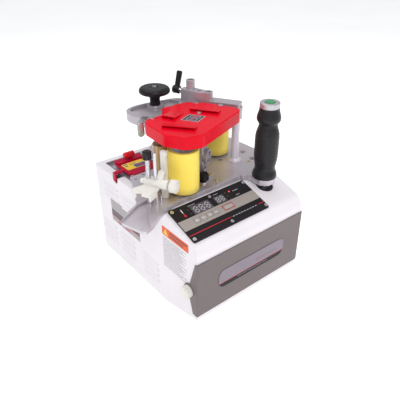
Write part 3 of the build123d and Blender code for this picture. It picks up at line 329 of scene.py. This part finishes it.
looks = {
    "housing_paint": painted("housing_paint_texture", (0.755, 0.722, 0.755), 0.34, grain=1300,
                             vary=0.02, coat=0.2, edge=0.0014),
    "taupe": painted("taupe_paint_texture", (0.156, 0.127, 0.128), 0.42, grain=1300, vary=0.04,
                     depth=0.00010, edge=0.0012),
    "cast_alloy": metal("cast_alloy_ground", (0.47, 0.43, 0.465), 0.40, grain=600, vary=0.06,
                        depth=0.00012, edge=0.0010, metallic=0.6),
    "bright_steel": turned("bright_steel_turned", (0.62, 0.62, 0.65), 0.22, 0.06, grain=900,
                           vary=0.08, depth=0.00003, edge=0.0003),
    "chrome": turned("chrome_plate", (0.72, 0.72, 0.75), 0.09, 0.3, vary=0.03, depth=0.00001),
    "red_paint": painted("lid_red_texture", (0.44, 0.001, 0.034), 0.40, grain=700,
                         edge=0.0006, spec=0.12),
    "black_plastic": painted("black_plastic_moulding", (0.012, 0.010, 0.012), 0.33, grain=1500,
                             vary=0.25, depth=0.00005, edge=0.0007, wear=(0.05, 0.05, 0.055),
                             spec=0.2),
    "white_plastic": painted("white_plastic_moulding", (0.74, 0.72, 0.67), 0.38, grain=1200,
                             vary=0.04, depth=0.00004, coat=0.1, edge=0.0004),
    "yellow_rubber": rubber_tyre(),
    "grip_plastic": chevron_grip(),
    "brass": turned("brass_turned", (0.72, 0.52, 0.20), 0.25, 0.1, grain=700),
    "glue_coated_steel": glue_coat(),
    "panel_film": painted("panel_film_print", (0.017, 0.015, 0.017), 0.34, grain=2000, vary=0.03,
                          depth=0.00002, edge=0.0003, spec=0.15),
    "display_window": painted("display_lens", (0.105, 0.098, 0.115), 0.14, grain=2000, vary=0.1,
                              depth=0.00001, coat=0.6, edge=0.0002),
    "lamp": painted("lamp_lens", (0.10, 0.075, 0.085), 0.2, grain=1500, vary=0.1,
                    depth=0.00001, coat=0.5, edge=0.0003),
    "key_cap": painted("key_cap_rubber", (0.42, 0.38, 0.36), 0.42, grain=1600, vary=0.05,
                       depth=0.00003),
    "green_plastic": painted("green_button_plastic", (0.03, 0.26, 0.09), 0.3, grain=1500,
                             vary=0.08, depth=0.00003, coat=0.3),
    "circuit_board": painted("circuit_board_mask", (0.02, 0.12, 0.05), 0.4, grain=800, vary=0.2),
    "bronze": metal("bronze_sintered", (0.55, 0.38, 0.20), 0.35, grain=1500, vary=0.1),
    "dark_steel": metal("dark_steel_scaled", (0.16, 0.16, 0.17), 0.5, vary=0.15),
    "red_plastic": painted("red_knob_plastic", (0.60, 0.006, 0.020), 0.35, grain=1200, vary=0.08,
                           depth=0.00004, coat=0.1, edge=0.0008),
}
by_node = {
    "badge_plate": badge_print(),
    "deck": cast_deck(),
    "top_cover": scooped_cover(),
    "cover_knob_left": looks["white_plastic"],
    "cover_knob_right": looks["white_plastic"],
    # painted light: the cast alloy made much lighter on the column, for the light that falls on
    # it
    "support_column": metal("column_alloy_painted_light", (0.74, 0.68, 0.75), 0.42, grain=600, vary=0.05,
                            depth=0.00012, edge=0.0010, metallic=0.3),
    "handle_core": turned("handle_core_turned", (0.56, 0.54, 0.57), 0.38, 0.06, grain=900,
                          vary=0.06, depth=0.00003, edge=0.0003, metallic=0.8),
}
slot_of = {part["node"]: part["material_slot"] for part in frame["record"]["subparts"]}
for name, obj in nodes.items():
    look = by_node.get(name) or looks[slot_of[name]]
    for slot in obj.material_slots:
        slot.material = look

# printed colours: colour, roughness, and how far the colour drifts
INKS = {
    "warm_grey": ((0.35, 0.31, 0.29), 0.38, 0.04),
    "silver": ((0.46, 0.44, 0.50), 0.35, 0.03),
    "dark": ((0.022, 0.022, 0.028), 0.35, 0.1),
    "red": ((0.55, 0.02, 0.04), 0.35, 0.06),
    "orange": ((0.72, 0.095, 0.015), 0.36, 0.05),
    "yellow": ((0.80, 0.55, 0.05), 0.36, 0.05),
    "blue": ((0.06, 0.10, 0.24), 0.36, 0.08),
    "white": ((0.72, 0.72, 0.74), 0.4, 0.03),
    "segment": ((0.46, 0.44, 0.48), 0.3, 0.05),
    "label_grey": ((0.36, 0.33, 0.34), 0.36, 0.04),
    "label_dark": ((0.10, 0.08, 0.09), 0.36, 0.06),
    "rules": ((0.20, 0.19, 0.21), 0.4, 0.05),
    "plate_dark": ((0.030, 0.036, 0.048), 0.34, 0.08),
}
ink = {key: painted(f"print_{key}", color, rough, grain=1500, vary=vary, depth=0.00001, edge=0)
       for key, (color, rough, vary) in INKS.items()}
red_glow = glowing("lamp_glow", (1.0, 0.05, 0.03), 1.6)

# ------------------------------------------------------ prints, thin raised shapes
SLOPE = atan2(22.0, 68.0)  # the control face falls 22 mm over 68 mm
FEED = Vector((-58.5, -87.4, 0)) * MM  # axis of the feed roller
LINE = radians(30)  # the tape line, turned from the front


class Face:
    """A flat place on the object: origin in metres, two directions, and the outward one."""

    def __init__(self, origin, right, up):
        self.origin = Vector(origin)
        self.right = Vector(right).normalized()
        self.up = Vector(up).normalized()
        self.out = self.right.cross(self.up)

    def at(self, x, y, lift):
        return self.origin + (self.right * x + self.up * y + self.out * lift) * MM


# the faces that carry prints: control face, left wall, lid's plate, flat top of the cover
panel = Face((0, -0.110, 0.183), (1, 0, 0), (0, cos(SLOPE), sin(SLOPE)))
left_wall = Face((-0.115, 0, 0), (0, -1, 0), (0, 0, 1))
lid_face = Face((0, 0, 0.1915), (1, 0, 0), (0, 1, 0))
cover_top = Face((FEED.x, FEED.y, COVER_TOP), (cos(LINE), sin(LINE), 0),
                 (-sin(LINE), cos(LINE), 0))


def prints(name, face, outlines, material, lift, body="frame",
           thick=0.12):
    """One object made of thin closed prisms, one per outline, standing on a face.

    Outlines, lift and thick are in millimetres.
    """
    bm = bmesh.new()
    for outline in outlines:
        low = [bm.verts.new(face.at(x, y, lift)) for x, y in outline]
        high = [bm.verts.new(face.at(x, y, lift + thick)) for x, y in outline]
        bm.faces.new(high)
        bm.faces.new(list(reversed(low)))
        count = len(outline)
        for i in range(count):
            j = (i + 1) % count
            bm.faces.new((low[i], low[j], high[j], high[i]))
    bmesh.ops.recalc_face_normals(bm, faces=bm.faces)
    mesh = bpy.data.meshes.new(name)
    bm.to_mesh(mesh)
    bm.free()
    mesh.materials.append(material)
    obj = bpy.data.objects.new(name, mesh)
    bpy.context.scene.collection.objects.link(obj)
    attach(obj, body)
    return obj


def rect(x0, y0, x1, y1):
    return [(x0, y0), (x1, y0), (x1, y1), (x0, y1)]


def rounded(x0, y0, x1, y1, r, steps=5):
    points = []
    for cx, cy, start in ((x1 - r, y1 - r, 0), (x0 + r, y1 - r, 90), (x0 + r, y0 + r, 180),
                          (x1 - r, y0 + r, 270)):
        for k in range(steps + 1):
            a = radians(start + 90 * k / steps)
            points.append((cx + r * cos(a), cy + r * sin(a)))
    return points


def disc(cx, cy, r, steps=24):
    return [(cx + r * cos(2 * pi * k / steps), cy + r * sin(2 * pi * k / steps))
            for k in range(steps)]


def frame_of(x0, y0, x1, y1, line):
    """The four sides of a rectangular outline."""
    return [rect(x0, y1 - line, x1, y1), rect(x0, y0, x1, y0 + line),
            rect(x0, y0 + line, x0 + line, y1 - line), rect(x1 - line, y0 + line, x1, y1 - line)]


SEGMENTS = ((0, 1, 1, 1), (1, 1, 1, 0.5), (1, 0.5, 1, 0), (0, 0, 1, 0), (0, 0.5, 0, 0),
            (0, 1, 0, 0.5), (0, 0.5, 1, 0.5))


def figure_eight(x, y, w, h, line):
    """All seven segments of one unlit figure with its lower left corner at x, y."""
    shapes = []
    for u0, v0, u1, v1 in SEGMENTS:
        x0, y0, x1, y1 = x + u0 * w, y + v0 * h, x + u1 * w, y + v1 * h
        gap = line * 0.7
        if y0 == y1:
            shapes.append(rect(x0 + gap, y0 - line / 2, x1 - gap, y0 + line / 2))
        else:
            shapes.append(rect(x0 - line / 2, y1 + gap, x0 + line / 2, y0 - gap))
    return shapes


def across(node, margin=0.0):
    """Left and right ends of a node in millimetres, widened by a margin."""
    low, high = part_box(node)
    return low.x / MM - margin, high.x / MM + margin


# the panel's film; rows are fractions of its height, counted down from its top edge
PANEL_LEFT, PANEL_RIGHT = across("control_panel")
PANEL_TOP, PANEL_HEIGHT = -2.0, 69.0
BORDER = 0.4
FILM, ON_FILM = 2.02, 2.14  # lift of a print on the film, and of one on such a print
DISPLAY_TOP, LAMP_TOP, KEY_TOP = 1.82, 2.11, 2.82  # lifts on what stands in or on the film
BAND_ROWS = (0.385, 0.665)
RED_LINE_ROWS = (0.800, 0.818)
CAPTION_ROWS = (0.805, 0.822)
CAPTION_LEFT, CAPTION_RIGHT = -27, 33
KEY_ROW, KEY_WINDOW = 0.525, 4.3
DISPLAY_ROW = 0.25


def row(v):
    return PANEL_TOP - v * PANEL_HEIGHT


left, right = PANEL_LEFT + BORDER, PANEL_RIGHT - BORDER
key_top, key_low = row(KEY_ROW) + KEY_WINDOW, row(KEY_ROW) - KEY_WINDOW

# warm grey band, open where the keys stand
windows = [across(node, 0.5) for node in ("key_1", "key_2", "key_3", "key_4", "function_key")]
edges = [left] + [end for window in windows for end in window] + [right]
band = [rect(left, key_top, right, row(BAND_ROWS[0])),
        rect(left, row(BAND_ROWS[1]), right, key_low)]
band += [rect(edges[i], key_low, edges[i + 1], key_top) for i in range(0, len(edges), 2)]
prints("panel_grey_band", panel, band, ink["warm_grey"], FILM)

# red line, broken where the row of caption bars stands
line_top, line_low = row(RED_LINE_ROWS[0]), row(RED_LINE_ROWS[1])
prints("panel_red_line", panel,
       [rect(left, line_low, CAPTION_LEFT, line_top),
        rect(CAPTION_RIGHT, line_low, right, line_top)],
       ink["red"], FILM)
frame_left, frame_right = across("function_key", 2.3)
prints("panel_key_frame", panel,
       frame_of(frame_left, key_low - 1.2, frame_right, key_top + 1.2, 0.9),
       ink["red"], ON_FILM)

# thermometer mark: white tube, red bulb
TUBE_X = -90.5
prints("panel_thermometer_tube", panel,
       [rect(TUBE_X - 0.8, row(0.24), TUBE_X + 0.8, row(0.10))], ink["white"], FILM)
prints("panel_thermometer_bulb", panel,
       [disc(TUBE_X, row(0.30), 2.3), rect(TUBE_X - 0.6, row(0.28), TUBE_X + 0.6, row(0.20))],
       ink["red"], ON_FILM)

# plain bars stand where the real panel has its captions
captions = [rect(x, row(CAPTION_ROWS[1]), x + 4.2, row(CAPTION_ROWS[0]))
            for x in range(CAPTION_LEFT + 3, CAPTION_RIGHT - 3, 6)]
captions += [rect(x0, row(low), x1, row(high)) for x0, x1, high, low in (
    (12, 24, 0.175, 0.19), (12, 20, 0.315, 0.33), (-76, -62, 0.083, 0.095),
    (-24, -14, 0.073, 0.085))]
prints("panel_caption_bars", panel, captions, ink["segment"], FILM,
       thick=0.06)


def sign(x, y, plus, reach=1.8, half=0.35):
    """A minus, or a plus made of three rectangles that do not overlap."""
    bars = [rect(x - reach, y - half, x + reach, y + half)]
    if plus:
        bars += [rect(x - half, y - reach, x + half, y - half),
                 rect(x - half, y + half, x + half, y + reach)]
    return bars


for k in range(4):
    key_left, key_right = across(f"key_{k + 1}")
    prints(f"key_mark_{k + 1}", panel,
           sign((key_left + key_right) / 2, row(KEY_ROW), plus=k % 2 == 0), ink["white"],
           KEY_TOP, body=f"key{k + 1}", thick=0.05)

# displays: every segment unlit; one lamp is lit
figures = []
for k in range(3):
    figures += figure_eight(-70.0 + k * 11.0, row(DISPLAY_ROW) - 5.6, 6.4, 11.2, 1.7)
for k in range(2):
    figures += figure_eight(-25.0 + k * 8.6, row(DISPLAY_ROW) - 4.6, 5.2, 9.2, 1.4)
prints("display_segments", panel, figures, ink["segment"], DISPLAY_TOP)
prints("lamp_lit", panel, [disc(6, row(0.16), 1.25, 16)], red_glow, LAMP_TOP,
       thick=0.35)

# left wall: label with bands, plain sticker with a blank triangle, ruled lines
ON_FACE, ON_PRINT, ON_TWO = 0.02, 0.15, 0.28  # lift on a bare face, on one print, on two
LABEL_LEFT, LABEL_RIGHT, ON_LABEL = -61, 33, 0.16
prints("side_label_grey", left_wall,
       [rect(LABEL_LEFT, 108.5, LABEL_RIGHT, 130), rect(LABEL_LEFT, 83, LABEL_RIGHT, 93)],
       ink["label_grey"], ON_FACE)
prints("side_label_dark", left_wall, [rect(LABEL_LEFT, 94.5, LABEL_RIGHT, 108)],
       ink["label_dark"], ON_FACE)
prints("side_label_line", left_wall,
       [rect(LABEL_LEFT, 93.3, LABEL_RIGHT, 94.2), rect(-40, 86, -22, 88.5),
        rect(-14, 86, 2, 88.5)], ink["red"], ON_LABEL)
prints("wall_sticker", left_wall, [rounded(103, 141, 170, 157, 2)], ink["orange"], ON_FACE)
prints("wall_sticker_triangle", left_wall, [[(106, 143.5), (119, 143.5), (112.5, 155)]],
       ink["yellow"], ON_PRINT)
prints("wall_sticker_bars", left_wall,
       [rect(123, 151, 166, 153), rect(123, 145.5, 158, 147.5)], ink["dark"], ON_PRINT)

# plain ruled lines where the real wall carries small print
RULES, RULE_LEFT, RULE_LOW, RULE_PITCH, RULE_HEIGHT = 19, 104, 135.5, 3.1, 0.8
RULE_LENGTHS = (60, 52, 57, 44, 61, 50)
rules = []
for k in range(RULES):
    low = RULE_LOW - RULE_PITCH * k
    length = RULE_LENGTHS[k % len(RULE_LENGTHS)]
    rules.append(rect(RULE_LEFT, low, RULE_LEFT + length, low + RULE_HEIGHT))
prints("wall_rules", left_wall, rules, ink["rules"], ON_FACE, thick=0.05)

# lid: plain two-colour label
prints("lid_label_yellow", lid_face, [rounded(-92, 27, -50, 52, 2)], ink["yellow"], ON_FACE,
       body="lid")
prints("lid_label_blue", lid_face,
       [rounded(-75, 28.5, -51.5, 40.5, 3), rect(-90, 46.5, -82, 49.5), rect(-90, 40, -84, 43),
        rect(-79, 43.5, -66, 45.5)], ink["blue"], ON_PRINT, body="lid")
prints("lid_label_red", lid_face, [disc(-63, 34.5, 3.4)], ink["red"], ON_TWO, body="lid")

# cover: plain dark plate with a pale edge, set a little askew
prints("cover_plate_edge", cover_top,
       [[(30.4, 16), (57.2, 13), (57.8, -14.5), (30.8, -11.5)]], ink["silver"], ON_FACE)
prints("cover_plate_field", cover_top,
       [[(31.6, 14.8), (56.0, 12.1), (56.6, -13.2), (32.0, -10.5)]], ink["plate_dark"], ON_PRINT)
prints("cover_plate_rings", cover_top,
       frame_of(34.5, -7.5, 42.5, 9.5, 0.9) + frame_of(45.5, -9.0, 53.5, 8.0, 0.9),
       ink["silver"], ON_TWO)
prints("cover_plate_mark", cover_top,
       [disc(38.5, 1.0, 2.0), rect(47.5, -5.5, 51.5, 4.5)], ink["red"], ON_TWO)

# ----------------------------------------------------------- floor, light, camera
FLOOR_HALF = 40
floor_mesh = bpy.data.meshes.new("floor")
floor_mesh.from_pydata([(-FLOOR_HALF, -FLOOR_HALF, 0), (FLOOR_HALF, -FLOOR_HALF, 0),
                        (FLOOR_HALF, FLOOR_HALF, 0), (-FLOOR_HALF, FLOOR_HALF, 0)],
                       [], [(0, 1, 2, 3)])
floor = bpy.data.objects.new("floor", floor_mesh)
floor_look = Graph("floor_pale", 0.6)
pale = floor_look.ramp(floor_look.noise(2, 2), [(NOISE_LOW, (0.90, 0.90, 0.90)),
                                                (NOISE_HIGH, (0.93, 0.93, 0.93))])
floor_look.color(pale)
floor_look.link(pale, floor_look.bsdf.inputs["Emission Color"])
floor_look.bsdf.inputs["Emission Strength"].default_value = 0.46
floor_mesh.materials.append(floor_look.mat)
bpy.context.scene.collection.objects.link(floor)

bpy.context.scene.view_settings.view_transform = "Standard"
world = bpy.context.scene.world or bpy.data.worlds.new("studio")
bpy.context.scene.world = world
world.use_nodes = True
background = world.node_tree.nodes["Background"]
background.inputs["Color"].default_value = (0.96, 0.97, 1.0, 1)
background.inputs["Strength"].default_value = 0.55


def softbox(name, location, aim, size, power):
    data = bpy.data.lights.new(name, "AREA")
    data.shape = "RECTANGLE"
    data.size, data.size_y = size
    data.energy = power
    obj = bpy.data.objects.new(name, data)
    obj.location = location
    obj.rotation_euler = (Vector(aim) - Vector(location)).to_track_quat("-Z", "Y").to_euler()
    bpy.context.scene.collection.objects.link(obj)


softbox("key_softbox", location=(-0.7, -1.3, 1.5), aim=(0, -0.05, 0.15), size=(1.0, 0.8),
        power=16)
softbox("front_softbox", location=(1.2, -1.1, 0.9), aim=(0, 0, 0.15), size=(0.9, 0.9), power=3.8)
softbox("top_softbox", location=(0.1, 0.5, 1.7), aim=(0, 0, 0.2), size=(1.2, 1.0), power=8)
softbox("left_softbox", location=(-1.0, 0.35, 1.5), aim=(0, 0, 0.12), size=(0.6, 0.9), power=3.2)

camera_data = bpy.data.cameras.new("camera")
camera_data.lens = 40.5
camera_data.sensor_width = 36
camera_data.clip_start = 0.01
camera = bpy.data.objects.new("camera", camera_data)
LOOK_DOWN, LOOK_ROUND = 31.4, -39.2  # degrees below level, and round from the front
camera.location = (-0.4323, -0.5858, 0.5529)
camera.rotation_euler = (radians(90 - LOOK_DOWN), 0, radians(LOOK_ROUND))
bpy.context.scene.collection.objects.link(camera)
bpy.context.scene.camera = camera
